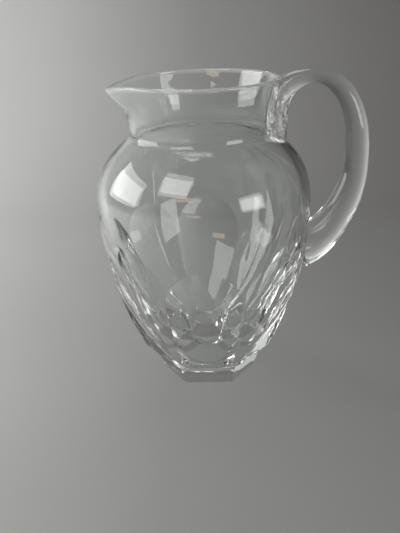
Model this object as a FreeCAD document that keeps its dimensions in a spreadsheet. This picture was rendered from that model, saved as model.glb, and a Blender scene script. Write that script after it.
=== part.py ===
import FreeCAD
import Part
import math
import os
import Sketcher

# Cut crystal pitcher: a moulded and wheel-cut vessel with a hexagonal foot, eight tall
# flats, a round shoulder and a pulled spout, and a solid glass handle laid on hot.
# Millimetres. The origin is the middle of the foot's underside, +Z is up, the spout
# points along -X, the handle along +X, and one flat of the foot faces -Y.

SIZES = {
    # vessel, outside
    "rim_height": 224.1,
    "rim_radius": 57.0,
    "belly_height": 140.0,
    "belly_radius": 78.3,
    "flank_radius": 247.0,
    "shoulder_radius": 48.5,
    "crease_radius": 51.4,
    "crease_lap": 2.0,
    # hexagonal foot
    "foot_height": 14.5,
    "foot_flat_low": 30.4,
    "foot_flat_high": 35.0,
    "foot_corner_low": 37.5,
    "foot_corner_high": 43.0,
    "ledge_height": 9.8,
    "ledge_cut_rise": 16.0,
    "ledge_cut_run": 19.2,
    # tall flats
    "ridge_depth": 0.4,
    "flat_top": 124.0,
    "flat_runout": 34.0,
    # spout
    "spout_reach": 70.0,
    "spout_tip_radius": 5.0,
    "lip_dip": 5.2,
    "lip_start": 38.0,
    # hollow
    "base_thickness": 18.6,
    "floor_radius": 30.0,
    "belly_wall": 6.1,
    "inner_shoulder_radius": 45.0,
    "neck_wall": 4.8,
    "rim_wall": 3.2,
    "rim_round": 1.2,
    "throat_lap": 2.5,
    # handle
    "handle_reach": 120.0,
    "handle_top": 230.2,
    "grip_thickness": 17.2,
    "grip_width": 18.0,
    # how far a cutting tool runs past the glass
    "overrun": 10.0,
}
FOOT_SIDES = 6
FLAT_COUNT = 8
SPOUT_ANGLE = 48.0
FULL_TURN = 360.0

# Tops of the flats, as shares of flat_top, going round from the handle by way of the
# back to the spout and on to the front: they climb from the handle to the spout.
FLAT_TOP_SHARES = (0.73, 0.80, 0.94, 0.94, 0.98, 0.95, 0.85, 0.87)

# Neck sections: height share between crease and rim, radius share between the crease's
# and the rim's, share of the spout's reach past the rim, share of a round (not pulled)
# tip, and share of the way from the rim's wall to the neck's wall.
NECK_SHARES = (
    (-0.15, 0.00, 0.023, 1.00, 1.00),
    (0.28, 0.03, 0.03, 0.95, 0.70),
    (0.555, 0.30, 0.24, 0.47, 0.45),
    (0.776, 0.66, 0.76, 0.12, 0.20),
    (1.02, 1.03, 1.02, 0.00, 0.00),
)
# The last section of the hollow, past the rim.
MOUTH_SHARES = (1.15, 1.15, 1.12, 0.00, 0.00)
ROUND_TIP_SHARE = 0.95

# Handle rod from the pad's foot in the crease, up the neck, over and down to the belly:
# place as shares of handle_reach and handle_top, heading in degrees, and thickness and
# width as shares of the grip's.
ROD_SHARES = (
    (0.475, 0.730, 92.0, 0.349, 0.511),
    (0.462, 0.769, 93.0, 0.628, 0.956),
    (0.455, 0.799, 92.0, 0.756, 1.178),
    (0.453, 0.834, 91.0, 0.837, 1.278),
    (0.453, 0.867, 88.0, 0.919, 1.289),
    (0.458, 0.895, 80.0, 0.953, 1.211),
    (0.481, 0.924, 60.0, 0.942, 1.089),
    (0.522, 0.948, 40.0, 0.884, 0.989),
    (0.583, 0.966, 18.0, 0.767, 0.911),
    (0.650, 0.973, 0.0, 0.680, 0.867),
    (0.733, 0.966, -22.0, 0.674, 0.867),
    (0.809, 0.941, -43.0, 0.802, 0.889),
    (0.867, 0.901, -61.0, 0.837, 0.922),
    (0.906, 0.849, -76.0, 0.913, 0.944),
    (0.926, 0.771, -88.0, 1.000, 1.000),
    (0.922, 0.696, -95.0, 1.029, 1.033),
    (0.898, 0.622, -106.0, 1.145, 1.111),
    (0.842, 0.556, -120.0, 1.279, 1.222),
    (0.773, 0.500, -131.0, 1.442, 1.367),
    (0.690, 0.457, -142.0, 1.709, 1.556),
    (0.575, 0.426, -158.0, 1.977, 1.833),
)
# An oval of four quarter arcs: how much its arcs' radii differ from its half sizes, as a
# share of the difference between the half sizes.
OVAL_SHARE = 1 / (2 - math.sqrt(2))


class Size:
    """A number together with the formula over the sheet that gives it."""

    def __init__(self, value, text):
        self.value = value
        self.text = text

    def join(self, other, sign, value):
        return Size(value, "(" + self.text + " " + sign + " " + as_size(other).text + ")")

    def __add__(self, other):
        return self.join(other, "+", self.value + as_size(other).value)

    def __sub__(self, other):
        return self.join(other, "-", self.value - as_size(other).value)

    def __mul__(self, other):
        return self.join(other, "*", self.value * as_size(other).value)

    def __truediv__(self, other):
        return self.join(other, "/", self.value / as_size(other).value)

    def __neg__(self):
        return Size(-self.value, "(0 - " + self.text + ")")


def as_size(item):
    if isinstance(item, Size):
        return item
    if item < 0:
        return Size(item, "(0 - " + repr(-item) + ")")
    return Size(item, repr(item))


def root(item):
    return Size(math.sqrt(item.value), "sqrt(" + item.text + ")")


doc = FreeCAD.newDocument("cut_crystal_pitcher")

sheet = doc.addObject("Spreadsheet::Sheet", "Sizes")
for row, (alias, number) in enumerate(SIZES.items(), start=1):
    sheet.set("A" + str(row), alias)
    sheet.set("B" + str(row), str(number))
    sheet.setAlias("B" + str(row), alias)
worked = doc.addObject("Spreadsheet::Sheet", "Worked")
doc.recompute()


def size(alias):
    return Size(SIZES[alias], "Sizes." + alias)


def keep(alias, item):
    """Keep a worked-out size in the second sheet and give it a short formula."""
    row = str(keep.row)
    keep.row += 1
    worked.set("A" + row, alias)
    worked.set("B" + row, "=" + item.text)
    worked.setAlias("B" + row, alias)
    return Size(item.value, "Worked." + alias)


keep.row = 1


def plane(body, role):
    for item in body.Origin.OriginFeatures:
        if item.Role == role:
            return item
    raise ValueError(role)


def new_sketch(body, name, role):
    sketch = body.newObject("Sketcher::SketchObject", name)
    sketch.AttachmentSupport = [(plane(body, role), "")]
    sketch.MapMode = "FlatFace"
    return sketch


def fix(sketch, geo, pos, axis, item):
    """Tie one coordinate of a point to its size."""
    if item is None:
        other = -2 if axis == "X" else -1
        sketch.addConstraint(Sketcher.Constraint("PointOnObject", geo, pos, other))
        return
    kind = "Distance" + axis
    if item.value < 0:
        item = -item
        index = sketch.addConstraint(Sketcher.Constraint(kind, geo, pos, -1, 1, item.value))
    else:
        index = sketch.addConstraint(Sketcher.Constraint(kind, -1, 1, geo, pos, item.value))
    sketch.setExpression("Constraints[" + str(index) + "]", item.text)


def draw(sketch, corners):
    """Close an outline. Each corner is (x, y, bend, side): None is a zero place, bend is
    the radius of the edge that leaves the corner, and side is 1 where that edge turns
    left and -1 where it turns right."""
    count = len(corners)
    places = []
    for x, y, bend, side in corners:
        px = x.value if x is not None else 0.0
        py = y.value if y is not None else 0.0
        places.append(FreeCAD.Vector(px, py, 0))
    ends = []
    for index, (x, y, bend, side) in enumerate(corners):
        first = places[index]
        last = places[(index + 1) % count]
        if bend is None:
            geo = sketch.addGeometry(Part.LineSegment(first, last))
            ends.append((geo, 1, 2))
            continue
        chord = last.sub(first)
        middle = first.add(last).multiply(0.5)
        depth = math.sqrt(bend.value ** 2 - (chord.Length / 2) ** 2)
        normal = FreeCAD.Vector(-chord.y, chord.x, 0).normalize().multiply(depth * side)
        centre = middle.add(normal)
        if side > 0:
            low, high = first, last
        else:
            low, high = last, first
        start = math.atan2(low.y - centre.y, low.x - centre.x)
        stop = math.atan2(high.y - centre.y, high.x - centre.x)
        if stop < start:
            stop += 2 * math.pi
        circle = Part.Circle(centre, FreeCAD.Vector(0, 0, 1), bend.value)
        geo = sketch.addGeometry(Part.ArcOfCircle(circle, start, stop))
        ends.append((geo, 1, 2) if side > 0 else (geo, 2, 1))
    for index in range(count):
        geo, begin, end = ends[index]
        after, next_begin, next_end = ends[(index + 1) % count]
        sketch.addConstraint(Sketcher.Constraint("Coincident", geo, end, after, next_begin))
    for index, (x, y, bend, side) in enumerate(corners):
        geo, begin, end = ends[index]
        fix(sketch, geo, begin, "X", x)
        fix(sketch, geo, begin, "Y", y)
        if bend is not None:
            number = sketch.addConstraint(Sketcher.Constraint("Radius", geo, bend.value))
            sketch.setExpression("Constraints[" + str(number) + "]", bend.text)


def move_to(sketch, places, turn):
    """Stand a sketch at its place, the places tied to their sizes."""
    base = FreeCAD.Vector(0, 0, 0)
    for name, item in places.items():
        setattr(base, name, item.value)
    sketch.AttachmentOffset = FreeCAD.Placement(base, turn)
    for name, item in places.items():
        sketch.setExpression("AttachmentOffset.Base." + name, item.text)


def revolve(body, name, sketch):
    feature = body.newObject("PartDesign::Revolution", name)
    feature.Profile = sketch
    feature.ReferenceAxis = (sketch, ["V_Axis"])
    feature.Angle = FULL_TURN
    return feature


def loft(body, name, sections):
    feature = body.newObject("PartDesign::AdditiveLoft", name)
    feature.Profile = sections[0]
    feature.Sections = sections[1:]
    return feature


def cut_across(body, name, sketch, width):
    """Cut a side profile across the body, half to each side of its sketch."""
    feature = body.newObject("PartDesign::Pocket", name)
    feature.Profile = sketch
    feature.Length = width.value
    feature.setExpression("Length", width.text)
    feature.SideType = "Symmetric"
    return feature


rim_height = size("rim_height")
belly_height = size("belly_height")
belly_radius = size("belly_radius")
flank_radius = size("flank_radius")
shoulder_radius = size("shoulder_radius")
crease_radius = size("crease_radius")
foot_height = size("foot_height")
overrun = size("overrun")


def flank(height):
    """Radius of the uncut flank at a height below the belly."""
    drop = belly_height - height
    return belly_radius - flank_radius + root(flank_radius * flank_radius - drop * drop)


def shoulder(radius):
    """Height of the shoulder arc, which leaves the belly upright, at a radius."""
    run = shoulder_radius - belly_radius + radius
    return belly_height + root(shoulder_radius * shoulder_radius - run * run)


# The shoulder meets the neck in the crease, and ends a little way inside the neck.
crease_height = keep("crease_height", shoulder(crease_radius))
shoulder_end = keep("shoulder_end", crease_radius - size("crease_lap"))
shoulder_top = keep("shoulder_top", shoulder(shoulder_end))

form = doc.addObject("PartDesign::Body", "vessel_form")
form.Label = "vessel_form"

# Blank: foot cone, ledge, flank arc and shoulder arc.
ledge_top = keep("ledge_top", foot_height + size("ledge_height"))
blank_profile = new_sketch(form, "blank_profile", "XZ_Plane")
draw(blank_profile, [
    (None, None, None, 1),
    (size("foot_corner_low"), None, None, 1),
    (size("foot_corner_high"), foot_height, None, 1),
    (keep("ledge_radius", flank(ledge_top)), ledge_top, flank_radius, 1),
    (belly_radius, belly_height, shoulder_radius, 1),
    (shoulder_end, shoulder_top, None, 1),
    (None, shoulder_top, None, 1),
])
revolve(form, "blank", blank_profile)

# Foot: one leaning flat with the sloping cut above it, six times round.
outside = keep("outside", belly_radius + overrun)
foot_profile = new_sketch(form, "foot_profile", "XZ_Plane")
foot_flat_low = size("foot_flat_low")
foot_flat_high = size("foot_flat_high")
foot_cut_top = foot_height + size("ledge_cut_rise")
draw(foot_profile, [
    (foot_flat_low, None, None, 1),
    (foot_flat_low, -overrun, None, 1),
    (outside, -overrun, None, 1),
    (outside, foot_cut_top, None, 1),
    (foot_flat_high + size("ledge_cut_run"), foot_cut_top, None, 1),
    (foot_flat_high, foot_height, None, 1),
])
quarter = FULL_TURN / 4
move_to(foot_profile, {}, FreeCAD.Rotation(FreeCAD.Vector(0, 1, 0), -quarter))
foot_cut = cut_across(form, "foot_flat", foot_profile, belly_radius)
foot_flats = form.newObject("PartDesign::PolarPattern", "foot_flats")
foot_flats.Originals = [foot_cut]
foot_flats.Axis = (blank_profile, ["V_Axis"])
foot_flats.Angle = FULL_TURN
foot_flats.Occurrences = FOOT_SIDES
form.Tip = foot_flats

# Tall flats: each follows the flank just under its surface, so that neighbours meet in
# a ridge, and then leaves it in a hollow run-out that ends in a round top.
half_flat = math.cos(math.pi / FLAT_COUNT)
ridge_depth = size("ridge_depth")
flat_low = keep("flat_low", (flank(foot_height) - ridge_depth) * half_flat)
flat_bend = keep("flat_bend", flank_radius / half_flat)
for index, share in enumerate(FLAT_TOP_SHARES):
    mark = str(index + 1)
    top = keep("flat_top_" + mark, size("flat_top") * share)
    touch = keep("flat_touch_" + mark, top - size("flat_runout"))
    touch_place = keep("flat_touch_place_" + mark, (flank(touch) - ridge_depth) * half_flat)
    top_place = keep("flat_top_place_" + mark, flank(top))
    # The lower arc's slope where it ends sets the run-out arc that leaves it smoothly.
    run = top_place - touch_place
    rise = top - touch
    low_run = touch_place - flat_low
    low_rise = touch - foot_height
    half_chord = keep("flat_half_chord_" + mark, root(low_run * low_run + low_rise * low_rise) / 2)
    depth = keep("flat_depth_" + mark, root(flat_bend * flat_bend - half_chord * half_chord))
    # Centre of the lower arc, on its inner side, and from it the upright slope at its end.
    centre_x = (touch_place + flat_low) / 2 - depth * low_rise / (half_chord * 2)
    centre_z = (touch + foot_height) / 2 + depth * low_run / (half_chord * 2)
    lean_x = keep("flat_lean_x_" + mark, (centre_z - touch) / flat_bend)
    lean_z = keep("flat_lean_z_" + mark, (touch_place - centre_x) / flat_bend)
    # Run-out radius: the circle through both ends with that slope at the lower one.
    across = run * lean_z - rise * lean_x
    runout_bend = keep("flat_runout_bend_" + mark, (run * run + rise * rise) / (across * 2))
    # Slope at the top end, for the straight run that carries the cutter clear.
    swing_x = lean_x + rise / runout_bend
    swing_z = lean_z - run / runout_bend
    clear = outside - top_place
    profile = new_sketch(form, "flat_profile_" + mark, "XZ_Plane")
    draw(profile, [
        (flat_low, foot_height, None, 1),
        (outside, foot_height, None, 1),
        (outside, top + clear * swing_z / swing_x, None, 1),
        (top_place, top, runout_bend, 1),
        (touch_place, touch, flat_bend, -1),
    ])
    turn = FULL_TURN / FLAT_COUNT * index
    move_to(profile, {}, FreeCAD.Rotation(FreeCAD.Vector(0, 1, 0), turn))
    cut_across(form, "flat_" + mark, profile, belly_radius)


def spout_section(body, name, height, radius, reach, tip):
    """Level section of the neck: a circle whose front is pulled out to a rounded tip,
    with side arcs that leave the circle and meet the tip smoothly."""
    level = keep(name + "_level", height)
    radius = keep(name + "_radius", radius)
    tip = keep(name + "_tip", tip)
    middle = keep(name + "_middle", reach - tip)
    cos_side = math.cos(math.radians(SPOUT_ANGLE))
    sin_side = math.sin(math.radians(SPOUT_ANGLE))
    upper = middle * radius * (2 * cos_side) - radius * radius - middle * middle + tip * tip
    side = keep(name + "_side", upper / ((middle * cos_side - radius + tip) * 2))
    far = keep(name + "_far", side - radius)
    lean_x = keep(name + "_lean_x", (middle + far * cos_side) / (side - tip))
    lean_y = keep(name + "_lean_y", far * sin_side / (side - tip))
    leave_x = radius * cos_side
    leave_y = radius * sin_side
    tip_x = middle + tip * lean_x
    tip_y = tip * lean_y
    sketch = new_sketch(body, name, "XY_Plane")
    draw(sketch, [
        (radius, None, radius, 1),
        (-leave_x, leave_y, side, 1),
        (-tip_x, tip_y, tip, 1),
        (-tip_x, -tip_y, side, 1),
        (-leave_x, -leave_y, radius, 1),
    ])
    move_to(sketch, {"z": level}, FreeCAD.Rotation())
    return sketch


def neck_section(body, name, shares, hollow):
    height_share, radius_share, reach_share, round_share, wall_share = shares
    height = crease_height + (rim_height - crease_height) * height_share
    radius = crease_radius + (size("rim_radius") - crease_radius) * radius_share
    reach = radius + (size("spout_reach") - size("rim_radius")) * reach_share
    pulled = size("spout_tip_radius")
    tip = pulled + (radius * ROUND_TIP_SHARE - pulled) * round_share
    if hollow:
        wall = size("rim_wall") + (size("neck_wall") - size("rim_wall")) * wall_share
        return spout_section(body, name, height, radius - wall, reach - wall, tip - wall)
    return spout_section(body, name, height, radius, reach, tip)


neck_sections = []
for index, shares in enumerate(NECK_SHARES):
    neck_sections.append(neck_section(form, "neck_" + str(index + 1), shares, False))
loft(form, "neck", neck_sections)

# The rim is cut level, and from the lip's start it sinks in one arc to the spout's tip.
spout_reach = size("spout_reach")
lip_start = size("lip_start")
lip_run = spout_reach - lip_start
lip_dip = size("lip_dip")
lip_bend = keep("lip_bend", (lip_run * lip_run + lip_dip * lip_dip) / (lip_dip * 2))
rim_profile = new_sketch(form, "rim_profile", "XZ_Plane")
draw(rim_profile, [
    (-lip_start, rim_height, lip_bend, 1),
    (-spout_reach, rim_height - lip_dip, None, 1),
    (-(spout_reach + overrun), rim_height - lip_dip, None, 1),
    (-(spout_reach + overrun), rim_height + overrun, None, 1),
    (outside, rim_height + overrun, None, 1),
    (outside, rim_height, None, 1),
])
rim_cut = cut_across(form, "rim_cut", rim_profile, belly_radius * 2)
doc.recompute()

# Fire-polishing rounds the rim's outer edge all the way to the spout's tip.
above = (crease_height.value + rim_height.value) / 2
top_faces = [face for face in rim_cut.Shape.Faces if face.BoundBox.ZMin > above]
rim_edges = []
for number, edge in enumerate(rim_cut.Shape.Edges, start=1):
    touching = [face for face in top_faces if any(edge.isSame(own) for own in face.Edges)]
    if len(touching) == 1:
        rim_edges.append("Edge" + str(number))
rim = form.newObject("PartDesign::Fillet", "rim")
rim.Base = (rim_cut, rim_edges)
rim.Radius = size("rim_round").value
rim.setExpression("Radius", size("rim_round").text)
form.Tip = rim

# Hollow: a bowl with a rounded floor, an inner shoulder, and the neck and spout.
core = doc.addObject("PartDesign::Body", "vessel_core")
core.Label = "vessel_core"
base_thickness = size("base_thickness")
floor_radius = size("floor_radius")
inner_radius = keep("inner_radius", belly_radius - size("belly_wall"))
depth = keep("bowl_depth", belly_height - base_thickness)
bowl_sum = inner_radius * inner_radius + depth * depth - depth * floor_radius * 2
bowl_radius = keep("bowl_radius", bowl_sum / ((inner_radius - floor_radius) * 2))
between = keep("bowl_between", bowl_radius - floor_radius)
floor_x = floor_radius * (bowl_radius - inner_radius) / between
floor_z = base_thickness + floor_radius - floor_radius * (depth - floor_radius) / between
throat = keep("throat", crease_radius - size("neck_wall") - size("throat_lap"))
inner_shoulder = size("inner_shoulder_radius")
throat_run = inner_shoulder - inner_radius + throat
throat_height = keep(
    "throat_height",
    belly_height + root(inner_shoulder * inner_shoulder - throat_run * throat_run),
)
core_profile = new_sketch(core, "core_profile", "XZ_Plane")
draw(core_profile, [
    (None, base_thickness, floor_radius, 1),
    (floor_x, floor_z, bowl_radius, 1),
    (inner_radius, belly_height, inner_shoulder, 1),
    (throat, throat_height, None, 1),
    (None, throat_height, None, 1),
])
revolve(core, "bowl", core_profile)
mouth_sections = []
for index, shares in enumerate(NECK_SHARES + (MOUTH_SHARES,)):
    mouth_sections.append(neck_section(core, "mouth_" + str(index + 1), shares, True))
loft(core, "mouth", mouth_sections)

vessel = doc.addObject("Part::Cut", "vessel")
vessel.Label = "vessel"
vessel.Base = form
vessel.Tool = core


def oval(body, name, half_width, half_depth, places, turn):
    """Section of four smooth quarter arcs, its width along the sketch's own X."""
    spread = keep(name + "_spread", (half_width - half_depth) * OVAL_SHARE)
    side_bend = keep(name + "_side_bend", half_width - spread)
    end_bend = keep(name + "_end_bend", half_depth + spread)
    aside = side_bend * math.sqrt(0.5)
    x = spread + aside
    sketch = new_sketch(body, name, "XY_Plane")
    draw(sketch, [
        (x, -aside, side_bend, 1),
        (x, aside, end_bend, 1),
        (-x, aside, side_bend, 1),
        (-x, -aside, end_bend, 1),
    ])
    move_to(sketch, places, turn)
    return sketch


# Handle: a rod of hot glass. Its flattened end is pressed down the neck as far as the
# crease; from there the rod rises, swings out and down, thickens and is laid on the belly.
handle_reach = size("handle_reach")
handle_top = size("handle_top")
rod = doc.addObject("PartDesign::Body", "handle_rod")
rod.Label = "handle_rod"
rod_sections = []
for index, (x_share, z_share, heading, thick_share, wide_share) in enumerate(ROD_SHARES):
    bearing = math.radians(heading)
    along = FreeCAD.Vector(math.cos(bearing), 0, math.sin(bearing))
    up = FreeCAD.Vector(-math.sin(bearing), 0, math.cos(bearing))
    turn = FreeCAD.Rotation(FreeCAD.Vector(0, 1, 0), up, along, "ZXY")
    places = {"x": handle_reach * x_share, "z": handle_top * z_share}
    half_width = size("grip_width") * (wide_share / 2)
    half_depth = size("grip_thickness") * (thick_share / 2)
    rod_sections.append(oval(rod, "rod_" + str(index + 1), half_width, half_depth, places, turn))
loft(rod, "rod", rod_sections)

handle = doc.addObject("Part::Cut", "handle")
handle.Label = "handle"
handle.Base = rod
handle.Tool = form

doc.recompute()

for item in doc.Objects:
    if "Invalid" in item.State or "Error" in item.State:
        raise RuntimeError(item.Name + " " + str(item.State))

os.makedirs("parts", exist_ok=True)
for item in (vessel, handle):
    shape = item.Shape
    if shape.isNull() or not shape.isValid() or len(shape.Solids) != 1:
        raise RuntimeError(item.Label + " has no single sound solid")
    shape.exportStep("parts/" + item.Label + ".step")
    box = shape.BoundBox
    print(item.Label, "volume", round(shape.Volume), "faces", len(shape.Faces),
          "box", [round(v, 1) for v in (box.XMin, box.XMax, box.YMin, box.YMax, box.ZMin, box.ZMax)])
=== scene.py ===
import math
import bmesh
import bpy
import numpy as np
from mathutils import Matrix, Vector
from mathutils.bvhtree import BVHTree


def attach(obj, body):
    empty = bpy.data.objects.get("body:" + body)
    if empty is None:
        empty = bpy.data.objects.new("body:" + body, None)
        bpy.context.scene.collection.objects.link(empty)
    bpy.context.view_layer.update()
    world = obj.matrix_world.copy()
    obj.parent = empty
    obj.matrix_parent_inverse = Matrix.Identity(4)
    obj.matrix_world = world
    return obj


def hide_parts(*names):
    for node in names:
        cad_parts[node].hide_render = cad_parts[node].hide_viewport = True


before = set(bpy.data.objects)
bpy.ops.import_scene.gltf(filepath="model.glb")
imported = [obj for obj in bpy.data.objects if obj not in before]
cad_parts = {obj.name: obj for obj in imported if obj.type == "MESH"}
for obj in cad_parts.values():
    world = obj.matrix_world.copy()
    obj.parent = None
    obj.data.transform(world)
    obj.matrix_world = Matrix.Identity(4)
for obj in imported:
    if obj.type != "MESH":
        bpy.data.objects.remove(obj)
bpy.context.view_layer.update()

MM = 0.001

# ---------------------------------------------------------------- sizes, millimetres
RIM_HEIGHT, RIM_RADIUS = 224.1, 57.0
BELLY_HEIGHT, BELLY_RADIUS = 140.0, 78.3
FLANK_RADIUS, SHOULDER_RADIUS = 247.0, 48.5
CREASE_RADIUS = 51.4
# The foot is a hexagon. Its flats cut a round blank, whose edge stands at the corners.
FOOT_SIDES, FOOT_HEIGHT = 6, 14.5
FOOT_FLAT_LOW, FOOT_FLAT_HIGH = 30.4, 35.0
FOOT_CORNER_LOW, FOOT_CORNER_HIGH = 37.5, 43.0
GROUND_RUN, GROUND_RISE = 0.5, 0.35
LEDGE_HEIGHT, LEDGE_RISE, LEDGE_RUN = 9.8, 16.0, 19.2
# Tall flats, each reaching its own share of the top height.
FLAT_COUNT, FLAT_TOP, FLAT_RUNOUT, RIDGE_DEPTH = 8, 124.0, 34.0, 0.4
FLAT_TOP_SHARES = (0.73, 0.80, 0.94, 0.94, 0.98, 0.95, 0.85, 0.87)
SPOUT_REACH, SPOUT_TIP, SPOUT_SIDE = 70.0, 5.0, math.radians(48.0)
LIP_DIP, LIP_START = 5.2, 38.0
BASE, FLOOR_RADIUS, BELLY_WALL, INNER_SHOULDER = 18.6, 30.0, 6.1, 45.0
NECK_WALL, RIM_WALL, RIM_BEAD = 4.8, 3.2, 1.5
# Rounding of the crease outside and of the throat inside. It starts a little above the
# belly and is full after the run given here.
CREASE_SOFTNESS, THROAT_SOFTNESS = 5.0, 8.0
SOFT_ABOVE_BELLY, SOFT_RUN = 5.0, 32.0
# Up to here above the belly the shoulder stands alone, and down to there under the crease
# the neck's form goes on inside the shoulder's.
SHOULDER_ALONE, NECK_OVERLAP = 6.0, 6.0
# Share of the neck's radius that the spout's tip has where the neck is still round.
ROUND_TIP_SHARE = 0.95
# Neck: height share, radius share, reach share, roundness of the tip, wall share.
NECK = np.array([
    (-0.15, 0.00, 0.023, 1.00, 1.00),
    (0.28, 0.03, 0.03, 0.95, 0.70),
    (0.555, 0.30, 0.24, 0.47, 0.45),
    (0.776, 0.66, 0.76, 0.12, 0.20),
    (1.02, 1.03, 1.02, 0.00, 0.00),
])

# Worked out from the sizes above.
CREASE_HEIGHT = BELLY_HEIGHT + math.sqrt(
    SHOULDER_RADIUS ** 2 - (SHOULDER_RADIUS - BELLY_RADIUS + CREASE_RADIUS) ** 2)
INNER_RADIUS = BELLY_RADIUS - BELLY_WALL
BOWL_DEPTH = BELLY_HEIGHT - BASE
BOWL_RADIUS = (INNER_RADIUS ** 2 + BOWL_DEPTH ** 2 - 2 * BOWL_DEPTH * FLOOR_RADIUS) / (
    2 * (INNER_RADIUS - FLOOR_RADIUS))
LIP_RUN = SPOUT_REACH - LIP_START
LIP_BEND = (LIP_RUN ** 2 + LIP_DIP ** 2) / (2 * LIP_DIP)

# A radius beyond the vessel, a length that stands for none, and the least cosine at which
# a flat still counts in a direction.
FAR, TINY, LEAST_COSINE = 1e3, 1e-6, 0.6


# ---------------------------------------------------------------- form of the vessel
def smooth_curve(xs, ys):
    """Natural cubic through the points."""
    xs, ys = np.asarray(xs, float), np.asarray(ys, float)
    n = len(xs)
    h = np.diff(xs)
    a = np.zeros((n, n))
    b = np.zeros(n)
    a[0, 0] = a[-1, -1] = 1
    for i in range(1, n - 1):
        a[i, i - 1], a[i, i], a[i, i + 1] = h[i - 1], 2 * (h[i - 1] + h[i]), h[i]
        b[i] = 3 * ((ys[i + 1] - ys[i]) / h[i] - (ys[i] - ys[i - 1]) / h[i - 1])
    c = np.linalg.solve(a, b)
    lean = np.diff(ys) / h - h * (2 * c[:-1] + c[1:]) / 3
    d = np.diff(c) / (3 * h)

    def at(x):
        i = np.clip(np.searchsorted(xs, x) - 1, 0, n - 2)
        t = x - xs[i]
        return ys[i] + lean[i] * t + c[i] * t * t + d[i] * t ** 3
    return at


def flank(z):
    """Radius of the flank below the belly."""
    return BELLY_RADIUS - FLANK_RADIUS + np.sqrt(FLANK_RADIUS ** 2 - (BELLY_HEIGHT - z) ** 2)


def soft_max(a, b, k):
    """The larger of two radii, with a rounding of size k where they cross."""
    return 0.5 * (a + b + np.sqrt((a - b) ** 2 + k * k))


def growing(z):
    """Share of the rounding at a height, which grows from none above the belly."""
    t = np.clip((z - BELLY_HEIGHT - SOFT_ABOVE_BELLY) / SOFT_RUN, 0, 1)
    return t * t * (3 - 2 * t)


HALF_FLAT = math.cos(math.pi / FLAT_COUNT)
FLAT_LOW = (flank(FOOT_HEIGHT) - RIDGE_DEPTH) * HALF_FLAT
FLAT_BEND = FLANK_RADIUS / HALF_FLAT


def flat_line(top):
    """Distance of a flat from the axis by height: it follows the flank and runs out."""
    touch = top - FLAT_RUNOUT
    x1, z1 = (flank(touch) - RIDGE_DEPTH) * HALF_FLAT, touch
    dx, dz = x1 - FLAT_LOW, z1 - FOOT_HEIGHT
    chord = math.hypot(dx, dz)
    depth = math.sqrt(FLAT_BEND ** 2 - chord ** 2 / 4)
    cx = (x1 + FLAT_LOW) / 2 - depth * dz / chord
    cz = (z1 + FOOT_HEIGHT) / 2 + depth * dx / chord
    lx, lz = (cz - z1) / FLAT_BEND, (x1 - cx) / FLAT_BEND
    run, rise = flank(top) - x1, top - z1
    bend = (run ** 2 + rise ** 2) / (2 * (run * lz - rise * lx))
    ox, oz = x1 + bend * lz, z1 - bend * lx
    sx, sz = lx + rise / bend, lz - run / bend

    def at(z):
        low = cx + np.sqrt(np.maximum(FLAT_BEND ** 2 - (z - cz) ** 2, 0))
        mid = ox - np.sqrt(np.maximum(bend ** 2 - (z - oz) ** 2, 0))
        high = flank(top) + (z - top) * sx / sz
        return np.where(z <= z1, low, np.where(z <= top, mid, high))
    return at


FLATS = [(i * 2 * math.pi / FLAT_COUNT, flat_line(FLAT_TOP * share))
         for i, share in enumerate(FLAT_TOP_SHARES)]
LEDGE_TOP = FOOT_HEIGHT + LEDGE_HEIGHT
LEDGE_RADIUS = float(flank(LEDGE_TOP))


def blank(z):
    """Radius of the uncut form up to the belly."""
    cone = FOOT_CORNER_LOW + (FOOT_CORNER_HIGH - FOOT_CORNER_LOW) * z / FOOT_HEIGHT
    ledge = FOOT_CORNER_HIGH + (LEDGE_RADIUS - FOOT_CORNER_HIGH) * (z - FOOT_HEIGHT) / LEDGE_HEIGHT
    return np.where(z < FOOT_HEIGHT, cone, np.where(z < LEDGE_TOP, ledge, flank(z)))


def foot_line(z):
    """Distance of the foot's side faces, and of the ledge above them, from the axis."""
    face = FOOT_FLAT_LOW + (FOOT_FLAT_HIGH - FOOT_FLAT_LOW) * z / FOOT_HEIGHT
    ledge = FOOT_FLAT_HIGH + LEDGE_RUN * (z - FOOT_HEIGHT) / LEDGE_RISE
    return np.where(z < FOOT_HEIGHT, face, ledge)


def nearest(theta, step, offset):
    """Angle to the nearest of the directions offset + k * step."""
    return (theta - offset + step / 2) % step - step / 2


def cut_flats(theta, z):
    """Radius that the tall flats leave in a direction."""
    r = np.full(np.broadcast(theta, z).shape, FAR)
    for way, line in FLATS:
        c = np.cos(theta - way)
        r = np.where(c > LEAST_COSINE, np.minimum(r, line(z) / np.maximum(c, LEAST_COSINE)), r)
    return r


def cut_foot(theta, z):
    """Radius that the cuts of the foot leave in a direction."""
    side = 2 * math.pi / FOOT_SIDES
    return foot_line(z) / np.cos(nearest(theta, side, side / 2))


def lower_form(theta, z):
    """Outer radius from the foot to the belly."""
    foot = np.where(z < FOOT_HEIGHT + LEDGE_RISE, cut_foot(theta, z), FAR)
    r = np.minimum(blank(z), foot)
    return np.where(z < FOOT_HEIGHT, r, np.minimum(r, cut_flats(theta, z)))


def neck_values():
    """Radius, reach, tip and wall of the neck, each as a curve over the height."""
    z = CREASE_HEIGHT + (RIM_HEIGHT - CREASE_HEIGHT) * NECK[:, 0]
    radius = CREASE_RADIUS + (RIM_RADIUS - CREASE_RADIUS) * NECK[:, 1]
    reach = radius + (SPOUT_REACH - RIM_RADIUS) * NECK[:, 2]
    tip = SPOUT_TIP + (radius * ROUND_TIP_SHARE - SPOUT_TIP) * NECK[:, 3]
    wall = RIM_WALL + (NECK_WALL - RIM_WALL) * NECK[:, 4]
    return [smooth_curve(z, v) for v in (radius, reach, tip, wall)]


neck_radius, neck_reach, neck_tip, neck_wall = neck_values()


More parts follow.
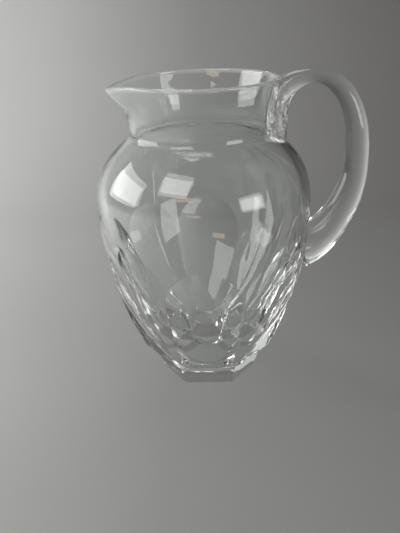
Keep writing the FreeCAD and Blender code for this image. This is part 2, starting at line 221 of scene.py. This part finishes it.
def spout_outline(psi, radius, reach, tip):
    """Radius at the angle psi from the spout: circle, side arcs and rounded tip."""
    psi = np.abs((psi + math.pi) % (2 * math.pi) - math.pi)
    c = np.maximum(reach - tip, TINY)
    cs, sn = math.cos(SPOUT_SIDE), math.sin(SPOUT_SIDE)
    side = (2 * c * radius * cs - radius ** 2 - c ** 2 + tip ** 2) / (2 * (c * cs - radius + tip))
    far = side - radius
    # Where the side arc meets the tip, with x towards the spout.
    lx, ly = (c + far * cs) / (side - tip), far * sn / (side - tip)
    tip_angle = np.arctan2(tip * ly, c + tip * lx)
    ux, uy = np.cos(psi), np.sin(psi)
    on_tip = ux * c + np.sqrt(np.maximum(tip ** 2 - (c * uy) ** 2, 0))
    dot = -far * cs * ux - far * sn * uy
    on_side = dot + np.sqrt(np.maximum(dot ** 2 - far ** 2 + side ** 2, 0))
    return np.where(psi >= SPOUT_SIDE, radius, np.where(psi <= tip_angle, on_tip, on_side))


def neck_form(theta, z, hollow=0.0):
    """Neck radius by direction and height, or that of its hollow where hollow is 1."""
    w = neck_wall(z) * hollow
    return spout_outline(theta - math.pi, neck_radius(z) - w, neck_reach(z) - w, neck_tip(z) - w)


def shoulder_and_neck(theta, z, radius, bend, softness, hollow):
    """Shoulder arc and neck, softly joined."""
    arc = radius - bend + np.sqrt(np.maximum(bend ** 2 - (z - BELLY_HEIGHT) ** 2, 0))
    neck = neck_form(theta, np.maximum(z, CREASE_HEIGHT - NECK_OVERLAP), hollow)
    joined = soft_max(arc, neck, softness * growing(z))
    return np.where(z < BELLY_HEIGHT + SHOULDER_ALONE, arc, joined)


def upper_form(theta, z):
    """Outer radius above the belly."""
    return shoulder_and_neck(theta, z, BELLY_RADIUS, SHOULDER_RADIUS, CREASE_SOFTNESS, 0.0)


def hollow_form(theta, z):
    """Inner radius above the belly."""
    return shoulder_and_neck(theta, z, INNER_RADIUS, INNER_SHOULDER, THROAT_SOFTNESS, 1.0)


def lip_height(x):
    """Height of the rim, which sinks towards the spout on -X."""
    run = np.maximum(-x - LIP_START, 0)
    return RIM_HEIGHT - LIP_BEND + np.sqrt(LIP_BEND ** 2 - run ** 2)


# ---------------------------------------------------------------- mesh of the vessel
COLUMNS = 288
# Rows of faces from the table up the outside, over the rim, and down the inside.
FOOT_ROWS, LEDGE_ROWS, FLAT_ROWS, BELLY_ROWS = 9, 8, 66, 20
SHOULDER_ROWS, CREASE_ROWS, NECK_ROWS, RIM_ROWS = 20, 16, 26, 11
THROAT_ROWS, INNER_SHOULDER_ROWS, BOWL_ROWS, FLOOR_ROWS = 16, 14, 44, 12
# Heights between which the rows lie closer, at the crease outside and the throat inside.
CREASE_FROM, THROAT_FROM, NECK_FROM = 178.0, 172.0, 189.0
# How far the columns crowd towards the spout at the rim, and over what angle.
CROWDING, CROWDING_ANGLE = 0.6, 0.55
# Heights between which the flats end, the least height of the ledge's edge above the foot,
# and how finely both are searched.
FLATS_END_FROM, FLATS_END_TO = FOOT_HEIGHT + 20.0, BELLY_HEIGHT - 2.0
LEAST_LEDGE, SAME_RADIUS = 0.5, 1e-9
FLAT_STEPS, LEDGE_STEPS, HALVINGS, LIP_ROUNDS = 1200, 400, 30, 12

# Faces run ring by ring, after the fan that closes the underside.
OUTER_END = COLUMNS * (2 + FOOT_ROWS + LEDGE_ROWS + FLAT_ROWS + BELLY_ROWS
                       + SHOULDER_ROWS + CREASE_ROWS + NECK_ROWS)
RIM_END = OUTER_END + COLUMNS * RIM_ROWS


def rows(first, last, count):
    """Steps from first towards last, which starts the next band."""
    return [first + (last - first) * t for t in np.linspace(0, 1, count + 1)[:-1]]


def highest_cut(theta):
    """Height at which the flats leave the surface in a direction."""
    z = np.linspace(FLATS_END_FROM, FLATS_END_TO, FLAT_STEPS)
    inside = cut_flats(theta, z) < flank(z)
    k = int(np.nonzero(inside)[0].max())
    low, high = z[k], z[min(k + 1, len(z) - 1)]
    for _ in range(HALVINGS):
        mid = (low + high) / 2
        if cut_flats(theta, mid) < flank(mid):
            low = mid
        else:
            high = mid
    return low


def ledge_edge(theta):
    """Height at which the sloping cut above the foot ends in a direction."""
    z = np.linspace(FOOT_HEIGHT + LEAST_LEDGE, FOOT_HEIGHT + LEDGE_RISE, LEDGE_STEPS)
    above = np.minimum(flank(z), cut_flats(theta, z))
    below = np.minimum(blank(z), cut_foot(theta, z))
    inside = np.nonzero(below < above - SAME_RADIUS)[0]
    return float(z[inside.max()]) if len(inside) else FOOT_HEIGHT + LEAST_LEDGE


def crowded(theta, z):
    """Directions of the columns, which crowd towards the spout higher up the neck."""
    share = np.clip((z - CREASE_HEIGHT) / (RIM_HEIGHT - CREASE_HEIGHT), 0, 1)
    psi = theta % (2 * math.pi) - math.pi
    return math.pi + psi * (1 - CROWDING * share * np.exp(-(psi / CROWDING_ANGLE) ** 2))


def vessel_rings():
    """Rings of points from the edge of the underside up the outside, over the rim, and
    down the inside to the floor."""
    theta = np.arange(COLUMNS) * 2 * math.pi / COLUMNS
    flats_end = np.array([highest_cut(t) for t in theta])
    ledge_end = np.array([ledge_edge(t) for t in theta])
    rings = []

    def add(turned, r, z):
        z = np.broadcast_to(z, turned.shape)
        rings.append(np.stack([r * np.cos(turned), r * np.sin(turned), z], 1))

    def add_form(form, z, turned=theta):
        z = np.broadcast_to(z, turned.shape)
        add(turned, form(turned, z), z)

    # Underside with its small ground bevel, then foot, ledge, flats and belly.
    add(theta, lower_form(theta, np.zeros(COLUMNS)) - GROUND_RUN, 0.0)
    for z in (rows(GROUND_RISE, FOOT_HEIGHT, FOOT_ROWS)
              + rows(FOOT_HEIGHT, ledge_end, LEDGE_ROWS)
              + rows(ledge_end, flats_end, FLAT_ROWS)
              + rows(flats_end, BELLY_HEIGHT, BELLY_ROWS)):
        add_form(lower_form, z)
    for z in (rows(BELLY_HEIGHT, CREASE_FROM, SHOULDER_ROWS)
              + rows(CREASE_FROM, NECK_FROM, CREASE_ROWS)):
        add_form(upper_form, z)
    # Neck up to the rim, whose height follows the lip.
    top = np.full(COLUMNS, RIM_HEIGHT)
    for _ in range(LIP_ROUNDS):
        turned = crowded(theta, top)
        top = lip_height(neck_form(turned, top) * np.cos(turned))
    under_rim = top - RIM_BEAD
    for z in rows(NECK_FROM, under_rim, NECK_ROWS):
        add_form(upper_form, z, crowded(theta, z))
    # Rim, fire-polished to a full round with a slight bead outside.
    turned = crowded(theta, top)
    outer, inner = upper_form(turned, under_rim), hollow_form(turned, under_rim)
    for a in np.linspace(0, math.pi, RIM_ROWS):
        add(turned, (outer + inner) / 2 + (outer - inner) / 2 * math.cos(a),
            under_rim + RIM_BEAD * math.sin(a))
    # Down the inside: neck, throat and shoulder, then the bowl's arc and the floor's.
    for z in rows(under_rim, NECK_FROM, NECK_ROWS)[1:]:
        add_form(hollow_form, z, crowded(theta, z))
    for z in (rows(NECK_FROM, THROAT_FROM, THROAT_ROWS)
              + rows(THROAT_FROM, BELLY_HEIGHT, INNER_SHOULDER_ROWS)):
        add_form(hollow_form, z)
    meet = math.atan2(FLOOR_RADIUS + BASE - BELLY_HEIGHT, BOWL_RADIUS - INNER_RADIUS)
    for a in rows(0, meet, BOWL_ROWS):
        add(theta, INNER_RADIUS - BOWL_RADIUS + BOWL_RADIUS * math.cos(a),
            BELLY_HEIGHT + BOWL_RADIUS * math.sin(a))
    for a in rows(meet, -math.pi / 2, FLOOR_ROWS):
        add(theta, FLOOR_RADIUS * math.cos(a), BASE + FLOOR_RADIUS + FLOOR_RADIUS * math.sin(a))
    return rings


def in_scene(name, data):
    """Object in the scene that holds a mesh, a lamp or a camera."""
    thing = bpy.data.objects.new(name, data)
    bpy.context.scene.collection.objects.link(thing)
    return thing


def face_outwards(mesh, weld_mm=0.0):
    """Merges points closer than weld_mm, turns the faces outwards, and returns the skin
    for rays to be cast at."""
    skin = bmesh.new()
    skin.from_mesh(mesh)
    if weld_mm:
        bmesh.ops.remove_doubles(skin, verts=skin.verts, dist=weld_mm * MM)
    bmesh.ops.recalc_face_normals(skin, faces=skin.faces)
    skin.to_mesh(mesh)
    tree = BVHTree.FromBMesh(skin)
    skin.free()
    return tree


def ring_mesh(name, rings, first, last):
    """Closed skin over rings of points, with a pole at each end."""
    count = len(rings[0])
    points = [first] + [tuple(p) for ring in rings for p in ring] + [last]
    faces = [(0, 1 + (k + 1) % count, 1 + k) for k in range(count)]
    for i in range(len(rings) - 1):
        a, b = 1 + i * count, 1 + (i + 1) * count
        for k in range(count):
            n = (k + 1) % count
            faces.append((a + k, a + n, b + n, b + k))
    a, end = 1 + (len(rings) - 1) * count, len(points) - 1
    faces += [(a + k, a + (k + 1) % count, end) for k in range(count)]
    mesh = bpy.data.meshes.new(name)
    mesh.from_pydata([(x * MM, y * MM, z * MM) for x, y, z in points], [], faces)
    mesh.validate()
    face_outwards(mesh)
    mesh.polygons.foreach_set("use_smooth", [True] * len(mesh.polygons))
    return in_scene(name, mesh)


# ---------------------------------------------------------------- materials
LEAD_CRYSTAL_IOR = 1.545


def linear(code):
    """sRGB hex to a linear colour."""
    out = []
    for i in (0, 2, 4):
        v = int(code[i:i + 2], 16) / 255
        out.append(v / 12.92 if v <= 0.04045 else ((v + 0.055) / 1.055) ** 2.4)
    return (*out, 1.0)


def add_node(tree, kind, settings=None, links=None, **values):
    """Adds a node with its settings, socket values and incoming links."""
    node = tree.nodes.new(kind)
    for key, value in (settings or {}).items():
        setattr(node, key, value)
    for key, value in values.items():
        node.inputs[key.replace("_", " ")].default_value = value
    for key, socket in (links or {}).items():
        tree.links.new(socket, node.inputs[key])
    return node


def crystal(name, ripple_mm, depth_mm, strength, streak, zone=(0.0, 1.0, 1.0, 1.0), clear=1.0):
    """Lead crystal, moulded or drawn and then fire-polished: water-clear, a high IOR that
    lights the edges, and a faint waviness where the hot glass flowed. The zone is a height,
    another height, and the gain of the waviness at each of them; clear is below 1 where a
    white share is painted in as a highlight."""
    mat = bpy.data.materials.new(name)
    mat.use_nodes = True
    tree = mat.node_tree
    tree.nodes.clear()
    place = add_node(tree, "ShaderNodeTexCoord")
    mapping = add_node(tree, "ShaderNodeMapping", links={"Vector": place.outputs["Object"]},
                       Scale=streak)
    wave = add_node(tree, "ShaderNodeTexNoise", links={"Vector": mapping.outputs["Vector"]},
                    Scale=1.0 / (ripple_mm * MM), Detail=1.5, Roughness=0.4)
    parts = add_node(tree, "ShaderNodeSeparateXYZ", links={"Vector": place.outputs["Object"]})
    gain = add_node(tree, "ShaderNodeMapRange", links={"Value": parts.outputs["Z"]},
                    From_Min=zone[0] * MM, From_Max=zone[1] * MM, To_Min=zone[2], To_Max=zone[3])
    height = add_node(tree, "ShaderNodeMath", {"operation": "MULTIPLY"},
                      {0: wave.outputs["Fac"], 1: gain.outputs["Result"]})
    bump = add_node(tree, "ShaderNodeBump", links={"Height": height.outputs["Value"]},
                    Strength=strength, Distance=depth_mm * MM)
    glass = add_node(tree, "ShaderNodeBsdfPrincipled", links={"Normal": bump.outputs["Normal"]},
                     Base_Color=linear("FBFDFC"), Roughness=0.0, IOR=LEAD_CRYSTAL_IOR,
                     Transmission_Weight=clear)
    # Lamps and the light of the table pass through, dimmed a little by each surface.
    through = add_node(tree, "ShaderNodeBsdfTransparent", Color=linear("F9FAF9"))
    path = add_node(tree, "ShaderNodeLightPath")
    soft = add_node(tree, "ShaderNodeMath", {"operation": "MAXIMUM"},
                    {0: path.outputs["Is Shadow Ray"], 1: path.outputs["Is Diffuse Ray"]})
    mix = add_node(tree, "ShaderNodeMixShader", links={
        0: soft.outputs["Value"], 1: glass.outputs["BSDF"], 2: through.outputs["BSDF"]})
    add_node(tree, "ShaderNodeOutputMaterial", links={"Surface": mix.outputs["Shader"]})
    return mat


def fused_seam():
    """Where the handle was pressed on hot the two glasses are one, so nothing reflects."""
    mat = bpy.data.materials.new("crystal_fused_hot")
    mat.use_nodes = True
    glass = mat.node_tree.nodes["Principled BSDF"]
    for socket, value in (("Base Color", linear("FFFFFF")), ("Transmission Weight", 1.0),
                          ("Roughness", 0.0), ("IOR", 1.0)):
        glass.inputs[socket].default_value = value
    return mat


moulded = crystal("crystal_moulded_and_wheel_cut", ripple_mm=11.0, depth_mm=0.6, strength=0.14,
                  streak=(1.0, 1.0, 0.45), zone=(75.0, 15.0, 1.0, 9.0))
blown = crystal("crystal_blown_inside", ripple_mm=24.0, depth_mm=0.6, strength=0.35,
                streak=(1.0, 1.0, 0.6))
drawn = crystal("crystal_drawn_handle", ripple_mm=7.0, depth_mm=0.6, strength=0.22,
                streak=(1.0, 1.0, 0.6))
pressed = crystal("crystal_pressed_hot", ripple_mm=5.0, depth_mm=2.5, strength=1.0,
                  streak=(1.0, 1.0, 1.0), zone=(214.0, 205.0, 0.1, 1.0))
# Painted highlight: the rim's white share (clear below 1) stands in for the bright line of light
# along the rim.
rim_painted_highlight = crystal("crystal_rim_painted_highlight", ripple_mm=30.0, depth_mm=0.6, strength=0.2,
                       streak=(1.0, 1.0, 1.0), clear=0.76)
fused = fused_seam()

# Edges sharper than these angles stay crisp: the wheel's cuts, and the handle's seam.
CUT_EDGE, SEAM_EDGE = math.radians(11), math.radians(40)

vessel = ring_mesh("vessel_glass", vessel_rings(), (0, 0, 0), (0, 0, BASE))
VESSEL_FINISHES = (moulded, fused, blown, rim_painted_highlight)
for finish in VESSEL_FINISHES:
    vessel.data.materials.append(finish)
vessel.data.set_sharp_from_angle(angle=CUT_EDGE)

# ---------------------------------------------------------------- handle
# Stations of the rod's middle line: x, z, half thickness, half width, millimetres.
ROD = np.array([
    (57.0, 168.0, 3.0, 4.6), (55.4, 177.0, 5.4, 8.6), (54.6, 184.0, 6.5, 10.6),
    (54.4, 192.0, 7.2, 11.5), (54.4, 199.5, 7.9, 11.6), (55.0, 206.0, 8.2, 10.9),
    (57.7, 212.6, 8.1, 9.8), (62.6, 218.2, 7.6, 8.9), (70.0, 222.4, 6.6, 8.2),
    (78.0, 224.0, 5.85, 7.8), (88.0, 222.3, 5.8, 7.8), (97.1, 216.7, 6.9, 8.0),
    (104.1, 207.4, 7.2, 8.3), (108.7, 195.5, 7.85, 8.5), (111.1, 177.4, 8.6, 9.0),
    (110.7, 160.2, 8.85, 9.3), (107.7, 143.2, 9.85, 10.0), (101.1, 127.9, 11.0, 11.0),
    (92.8, 115.2, 12.4, 12.3), (82.8, 105.2, 14.7, 14.0), (69.0, 98.0, 17.0, 16.5),
])
ROD_POINTS, ROD_SIDES, ROD_WELD = 420, 64, 0.001
# Ridges of the tool that pressed the hot end down the neck, by the way along the rod.
RIDGE_STEP, RIDGE_HEIGHT, RIDGES_FROM, RIDGES_TO = 6.5, 0.45, 14.0, 42.0
# The pressed end lies above this height and inside this distance from the axis.
PRESSED_ABOVE, PRESSED_WITHIN = 170.0, 66.5
# The seam on the vessel lies beyond this distance, in this half width, above this height.
SEAM_BEYOND, SEAM_HALF_WIDTH, SEAM_ABOVE = 45.0, 20.0, 70.0
# Wedge that seats the handle: half angle, columns, and its bands (from, to, levels).
WEDGE_ANGLE, WEDGE_COLUMNS = math.radians(32), 81
WEDGE_BANDS = ((72.0, 176.0, 90), (176.5, 190.0, 28), (191.0, 226.0, 30))


def rod_line():
    """Smooth middle line of the rod as an edge mesh with its half sizes as attributes."""
    step = np.hypot(np.diff(ROD[:, 0]), np.diff(ROD[:, 1]))
    along = np.concatenate([[0], np.cumsum(step)])
    s = np.linspace(0, along[-1], ROD_POINTS)
    x, z, half, wide = [smooth_curve(along, ROD[:, k])(s) for k in range(4)]
    ridged = (np.clip((s - RIDGES_FROM) / RIDGE_STEP, 0, 1)
              * np.clip((RIDGES_TO - s) / RIDGE_STEP, 0, 1))
    half = half + RIDGE_HEIGHT * ridged * np.sin(2 * math.pi * s / RIDGE_STEP)
    mesh = bpy.data.meshes.new("rod_line")
    mesh.from_pydata([(a * MM, 0, b * MM) for a, b in zip(x, z)],
                     [(i, i + 1) for i in range(len(s) - 1)], [])
    for name, values in (("half", half * MM), ("flare", wide / half)):
        layer = mesh.attributes.new(name, "FLOAT", "POINT")
        layer.data.foreach_set("value", values)
    return in_scene("rod_line", mesh)


def rod_tree(material):
    """Geometry Nodes: sweep a round section along the line, sized by its attributes."""
    tree = bpy.data.node_groups.new("drawn_rod", "GeometryNodeTree")
    tree.interface.new_socket("Line", in_out="INPUT", socket_type="NodeSocketGeometry")
    sides = tree.interface.new_socket("Sides", in_out="INPUT", socket_type="NodeSocketInt")
    sides.default_value = ROD_SIDES
    tree.interface.new_socket("Rod", in_out="OUTPUT", socket_type="NodeSocketGeometry")
    source = add_node(tree, "NodeGroupInput")
    half, flare = [add_node(tree, "GeometryNodeInputNamedAttribute", {"data_type": "FLOAT"},
                            Name=name) for name in ("half", "flare")]
    curve = add_node(tree, "GeometryNodeMeshToCurve", links={"Mesh": source.outputs["Line"]})
    circle = add_node(tree, "GeometryNodeCurvePrimitiveCircle",
                      links={"Resolution": source.outputs["Sides"]}, Radius=1.0)
    sweep = add_node(tree, "GeometryNodeCurveToMesh", links={
        "Curve": curve.outputs["Curve"], "Profile Curve": circle.outputs["Curve"],
        "Scale": half.outputs["Attribute"]}, Fill_Caps=True)
    spot = add_node(tree, "GeometryNodeInputPosition")
    parts = add_node(tree, "ShaderNodeSeparateXYZ", links={"Vector": spot.outputs["Position"]})
    widen = add_node(tree, "ShaderNodeMath", {"operation": "MULTIPLY"},
                     {0: parts.outputs["Y"], 1: flare.outputs["Attribute"]})
    moved = add_node(tree, "ShaderNodeCombineXYZ", links={
        "X": parts.outputs["X"], "Y": widen.outputs["Value"], "Z": parts.outputs["Z"]})
    shape = add_node(tree, "GeometryNodeSetPosition", links={
        "Geometry": sweep.outputs["Mesh"], "Position": moved.outputs["Vector"]})
    real = add_node(tree, "GeometryNodeRealizeInstances",
                    links={"Geometry": shape.outputs["Geometry"]})
    paint = add_node(tree, "GeometryNodeSetMaterial",
                     links={"Geometry": real.outputs["Geometry"]}, Material=material)
    add_node(tree, "NodeGroupOutput", links={"Rod": paint.outputs["Geometry"]})
    return tree


def wedge():
    """Solid wedge of the vessel's outside behind the handle, to cut the handle by."""
    theta = np.linspace(-WEDGE_ANGLE, WEDGE_ANGLE, WEDGE_COLUMNS)
    zs = np.concatenate([np.linspace(*band) for band in WEDGE_BANDS])
    points, faces = [], []
    for z in zs:
        form = lower_form if z < BELLY_HEIGHT else upper_form
        r = form(theta, np.full(len(theta), z))
        points += [(a * math.cos(b) * MM, a * math.sin(b) * MM, z * MM) for a, b in zip(r, theta)]
        points.append((0, 0, z * MM))
    n = len(theta) + 1
    for i in range(len(zs) - 1):
        for k in range(n):
            m = (k + 1) % n
            faces.append((i * n + k, i * n + m, (i + 1) * n + m, (i + 1) * n + k))
    faces.append(tuple(reversed(range(n))))
    faces.append(tuple((len(zs) - 1) * n + k for k in range(n)))
    mesh = bpy.data.meshes.new("wedge")
    mesh.from_pydata(points, [], faces)
    face_outwards(mesh)
    return in_scene("wedge", mesh)


def baked(name, source):
    """Plain mesh object of a piece with its modifiers applied."""
    graph = bpy.context.evaluated_depsgraph_get()
    mesh = bpy.data.meshes.new_from_object(source.evaluated_get(graph), depsgraph=graph)
    mesh.name = name
    return in_scene(name, mesh)


def discard(thing):
    """Takes a helper object and its mesh away."""
    data = thing.data
    bpy.data.objects.remove(thing)
    bpy.data.meshes.remove(data)


line = rod_line()
swept = line.modifiers.new("rod", "NODES")
swept.node_group = rod_tree(drawn)
rod = baked("rod", line)
discard(line)
rod_skin = face_outwards(rod.data, weld_mm=ROD_WELD)

# Rays leave a point in a direction that lies along no edge, and step off each skin they hit.
RAY_WAY = Vector((0.0123, 0.9993, 0.0345)).normalized()
RAY_STEP, MOST_SKINS = 1e-6, 16


def inside_rod(point):
    """True if the point lies in the rod, by counting the skins in one direction."""
    hits = 0
    start = Vector(point)
    for _ in range(MOST_SKINS):
        spot = rod_skin.ray_cast(start, RAY_WAY)[0]
        if spot is None:
            break
        hits += 1
        start = spot + RAY_WAY * RAY_STEP
    return hits % 2 == 1


def behind_handle(c):
    """True if a spot of the vessel lies where the handle's ends can cover it."""
    return c.x > SEAM_BEYOND * MM and abs(c.y) < SEAM_HALF_WIDTH * MM and c.z > SEAM_ABOVE * MM


# The vessel's faces inside the rod are fused to it.
for face in vessel.data.polygons:
    if face.index > RIM_END:
        face.material_index = VESSEL_FINISHES.index(blown)
    elif face.index > OUTER_END:
        face.material_index = VESSEL_FINISHES.index(rim_painted_highlight)
    elif behind_handle(face.center) and inside_rod(face.center):
        face.material_index = VESSEL_FINISHES.index(fused)

cutter = wedge()
cutter.data.materials.append(fused)
cut = rod.modifiers.new("seat", "BOOLEAN")
cut.operation = "DIFFERENCE"
cut.object = cutter
cut.solver = "EXACT"
cut.material_mode = "TRANSFER"
handle = baked("handle_glass", rod)
discard(rod)
discard(cutter)
handle.data.materials.append(pressed)
for face in handle.data.polygons:
    face.use_smooth = True
    drawn_face, c = face.material_index == 0, face.center
    if drawn_face and c.z > PRESSED_ABOVE * MM and c.x < PRESSED_WITHIN * MM:
        face.material_index = len(handle.data.materials) - 1
handle.data.set_sharp_from_angle(angle=SEAM_EDGE)

for piece, node, slot in ((vessel, "vessel", "crystal_vessel"),
                          (handle, "handle", "crystal_handle")):
    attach(piece, "root")
    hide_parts(node)

# ---------------------------------------------------------------- table, light, camera
# Paper, metres: its front edge, a point on the flat, the bend's start, radius and angle,
# the run and rise of the part behind it, and the half width.
PAPER_FRONT, PAPER_FLAT, BEND_START = -1.8, 0.1, 0.42
BEND_RADIUS, BEND_ANGLE, BEND_STEPS = 0.4, 1.45, 25
BACK_RUN, BACK_RISE, PAPER_HALF_WIDTH = 0.2, 1.7, 2.4
# Painted light falloff: the paper's colour is painted lighter on the window side and darker on the
# other, over this half width.
FALLOFF_HALF_WIDTH, PAPER_UNEVENNESS = 0.5, 0.05
# Painted light falloff colours, from the window side to the far side.
PAPER_PAINTED_FALLOFF_ENDS = ("DFE0DE", "6D6C6B")
PAPER_PAINTED_FALLOFF_STOPS = ((0.25, "C6C7C5"), (0.5, "9A9A99"), (0.75, "838281"))
# Each window is placed by its mirror image on the shoulder. Name, spot that sees it
# (metres), azimuth, elevation, width, height (degrees), distance (metres), level, colour.
WINDOWS = (
    ("window_left", (-0.045, -0.050, 0.165), 176, 14, 44, 29, 0.80, 4.2, "FFFFFF"),
    ("window_front", (-0.010, -0.062, 0.170), -124, 39, 32, 28, 1.6, 3.6, "FFFFFF"),
    ("window_right", (0.040, -0.060, 0.160), -36, 7, 27, 19, 1.6, 4.2, "FFFFFF"),
    ("lamp_warm", (0.000, -0.065, 0.165), -110, 21, 19, 3, 1.6, 4.0, "FFD9A8"),
    ("ceiling", (0.0, 0.0, 0.14), 125, 70, 20, 40, 1.8, 3.4, "FFFFFF"),
)
ROOM_TONE, ROOM_LEVEL = "A9A9A6", 0.4
# Camera: focal length and frame width in pixels, pitch, roll and turn in degrees, place in
# units of its fit, millimetres to such a unit, and the sensor's width.
FOCAL, FRAME_WIDTH, SENSOR_WIDTH, CLIP_START = 803.54, 400, 36.0, 0.01
PITCH, ROLL, TURN = 20.36, 2.16, 2.53
CAMERA_PLACE, FIT_UNIT = (-4.28, -525.1, 270.98), 1.0932
# Light runs round inside the thick walls and the cut foot many times before it leaves.
LIGHT_BOUNCES = 20


def paper_with_painted_falloff():
    """Matt grey paper, its colour painted lighter on the window side as light falloff, with a
    faint grain.
    """
    mat = bpy.data.materials.new("grey_paper_painted_falloff")
    mat.use_nodes = True
    tree = mat.node_tree
    paper = tree.nodes["Principled BSDF"]
    paper.inputs["Roughness"].default_value = 0.85
    place = add_node(tree, "ShaderNodeTexCoord")
    grain = add_node(tree, "ShaderNodeTexNoise", links={"Vector": place.outputs["Object"]},
                     Scale=5.0, Detail=3.0)
    parts = add_node(tree, "ShaderNodeSeparateXYZ", links={"Vector": place.outputs["Object"]})
    # Painted light falloff: colour runs from light on the window side (-X) to dark on the other.
    painted_falloff = add_node(tree, "ShaderNodeMapRange", links={"Value": parts.outputs["X"]},
                      From_Min=-FALLOFF_HALF_WIDTH, From_Max=FALLOFF_HALF_WIDTH,
                      To_Min=0.0, To_Max=1.0)
    falloff_and_grain = add_node(tree, "ShaderNodeMath", {"operation": "MULTIPLY_ADD"},
                      {0: grain.outputs["Fac"], 2: painted_falloff.outputs["Result"]})
    falloff_and_grain.inputs[1].default_value = PAPER_UNEVENNESS
    ramp = add_node(tree, "ShaderNodeValToRGB", links={"Fac": falloff_and_grain.outputs["Value"]})
    stops = ramp.color_ramp.elements
    stops[0].color, stops[1].color = [linear(code) for code in PAPER_PAINTED_FALLOFF_ENDS]
    for share, code in PAPER_PAINTED_FALLOFF_STOPS:
        stops.new(share).color = linear(code)
    tree.links.new(ramp.outputs["Color"], paper.inputs["Base Color"])
    return mat


def table_top():
    """Plain matt paper that runs under the pitcher and curves up behind it."""
    bend = [(BEND_START + BEND_RADIUS * math.sin(a), BEND_RADIUS - BEND_RADIUS * math.cos(a))
            for a in np.linspace(0, BEND_ANGLE, BEND_STEPS)]
    back = (bend[-1][0] + BACK_RUN, bend[-1][1] + BACK_RISE)
    profile = [(PAPER_FRONT, 0.0), (PAPER_FLAT, 0.0), *bend, back]
    points = [(x, y, z) for y, z in profile for x in (-PAPER_HALF_WIDTH, PAPER_HALF_WIDTH)]
    faces = [(2 * k, 2 * k + 1, 2 * k + 3, 2 * k + 2) for k in range(len(profile) - 1)]
    mesh = bpy.data.meshes.new("paper_sweep")
    mesh.from_pydata(points, [], faces)
    mesh.polygons.foreach_set("use_smooth", [True] * len(mesh.polygons))
    mesh.materials.append(paper_with_painted_falloff())
    in_scene("paper_sweep", mesh)


def window(name, seen_from, azimuth, elevation, wide, high, distance, level, code):
    """Soft rectangular light, placed and sized by the angles at which one spot sees it."""
    a, e = math.radians(azimuth), math.radians(elevation)
    way = Vector((math.cos(a) * math.cos(e), math.sin(a) * math.cos(e), math.sin(e)))
    lamp = bpy.data.lights.new(name, "AREA")
    lamp.shape = "RECTANGLE"
    lamp.size = 2 * distance * math.tan(math.radians(wide) / 2)
    lamp.size_y = 2 * distance * math.tan(math.radians(high) / 2)
    lamp.energy = math.pi * level * lamp.size * lamp.size_y
    lamp.color = linear(code)[:3]
    holder = in_scene(name, lamp)
    holder.location = Vector(seen_from) + way * distance
    holder.rotation_euler = (-way).to_track_quat("-Z", "Y").to_euler()
    holder.visible_camera = False


def room():
    """Dim even light from the walls of the room."""
    world = bpy.data.worlds.new("room")
    world.use_nodes = True
    walls = world.node_tree.nodes["Background"]
    walls.inputs["Color"].default_value = linear(ROOM_TONE)
    walls.inputs["Strength"].default_value = ROOM_LEVEL
    bpy.context.scene.world = world


def photo_camera():
    """Camera at the photograph's view."""
    pitch, roll = math.radians(PITCH), math.radians(ROLL)
    ahead = Vector((0, math.cos(pitch), -math.sin(pitch)))
    level = Vector((1, 0, 0))
    above = level.cross(ahead)
    right = math.cos(roll) * level - math.sin(roll) * above
    up = math.sin(roll) * level + math.cos(roll) * above
    tilt = Matrix((right, up, -ahead)).transposed().to_4x4()
    place = Matrix.Translation(Vector(CAMERA_PLACE) * (FIT_UNIT * MM))
    lens = bpy.data.cameras.new("photo_view")
    lens.sensor_fit, lens.sensor_width = "HORIZONTAL", SENSOR_WIDTH
    lens.lens = FOCAL / FRAME_WIDTH * SENSOR_WIDTH
    lens.clip_start = CLIP_START
    holder = in_scene("photo_view", lens)
    holder.matrix_world = Matrix.Rotation(math.radians(TURN), 4, "Z") @ place @ tilt
    bpy.context.scene.camera = holder


table_top()
for light in WINDOWS:
    window(*light)
room()
photo_camera()
bpy.context.scene.view_settings.view_transform = "Standard"
light_paths = bpy.context.scene.cycles
light_paths.max_bounces = LIGHT_BOUNCES
light_paths.transmission_bounces = light_paths.glossy_bounces = LIGHT_BOUNCES
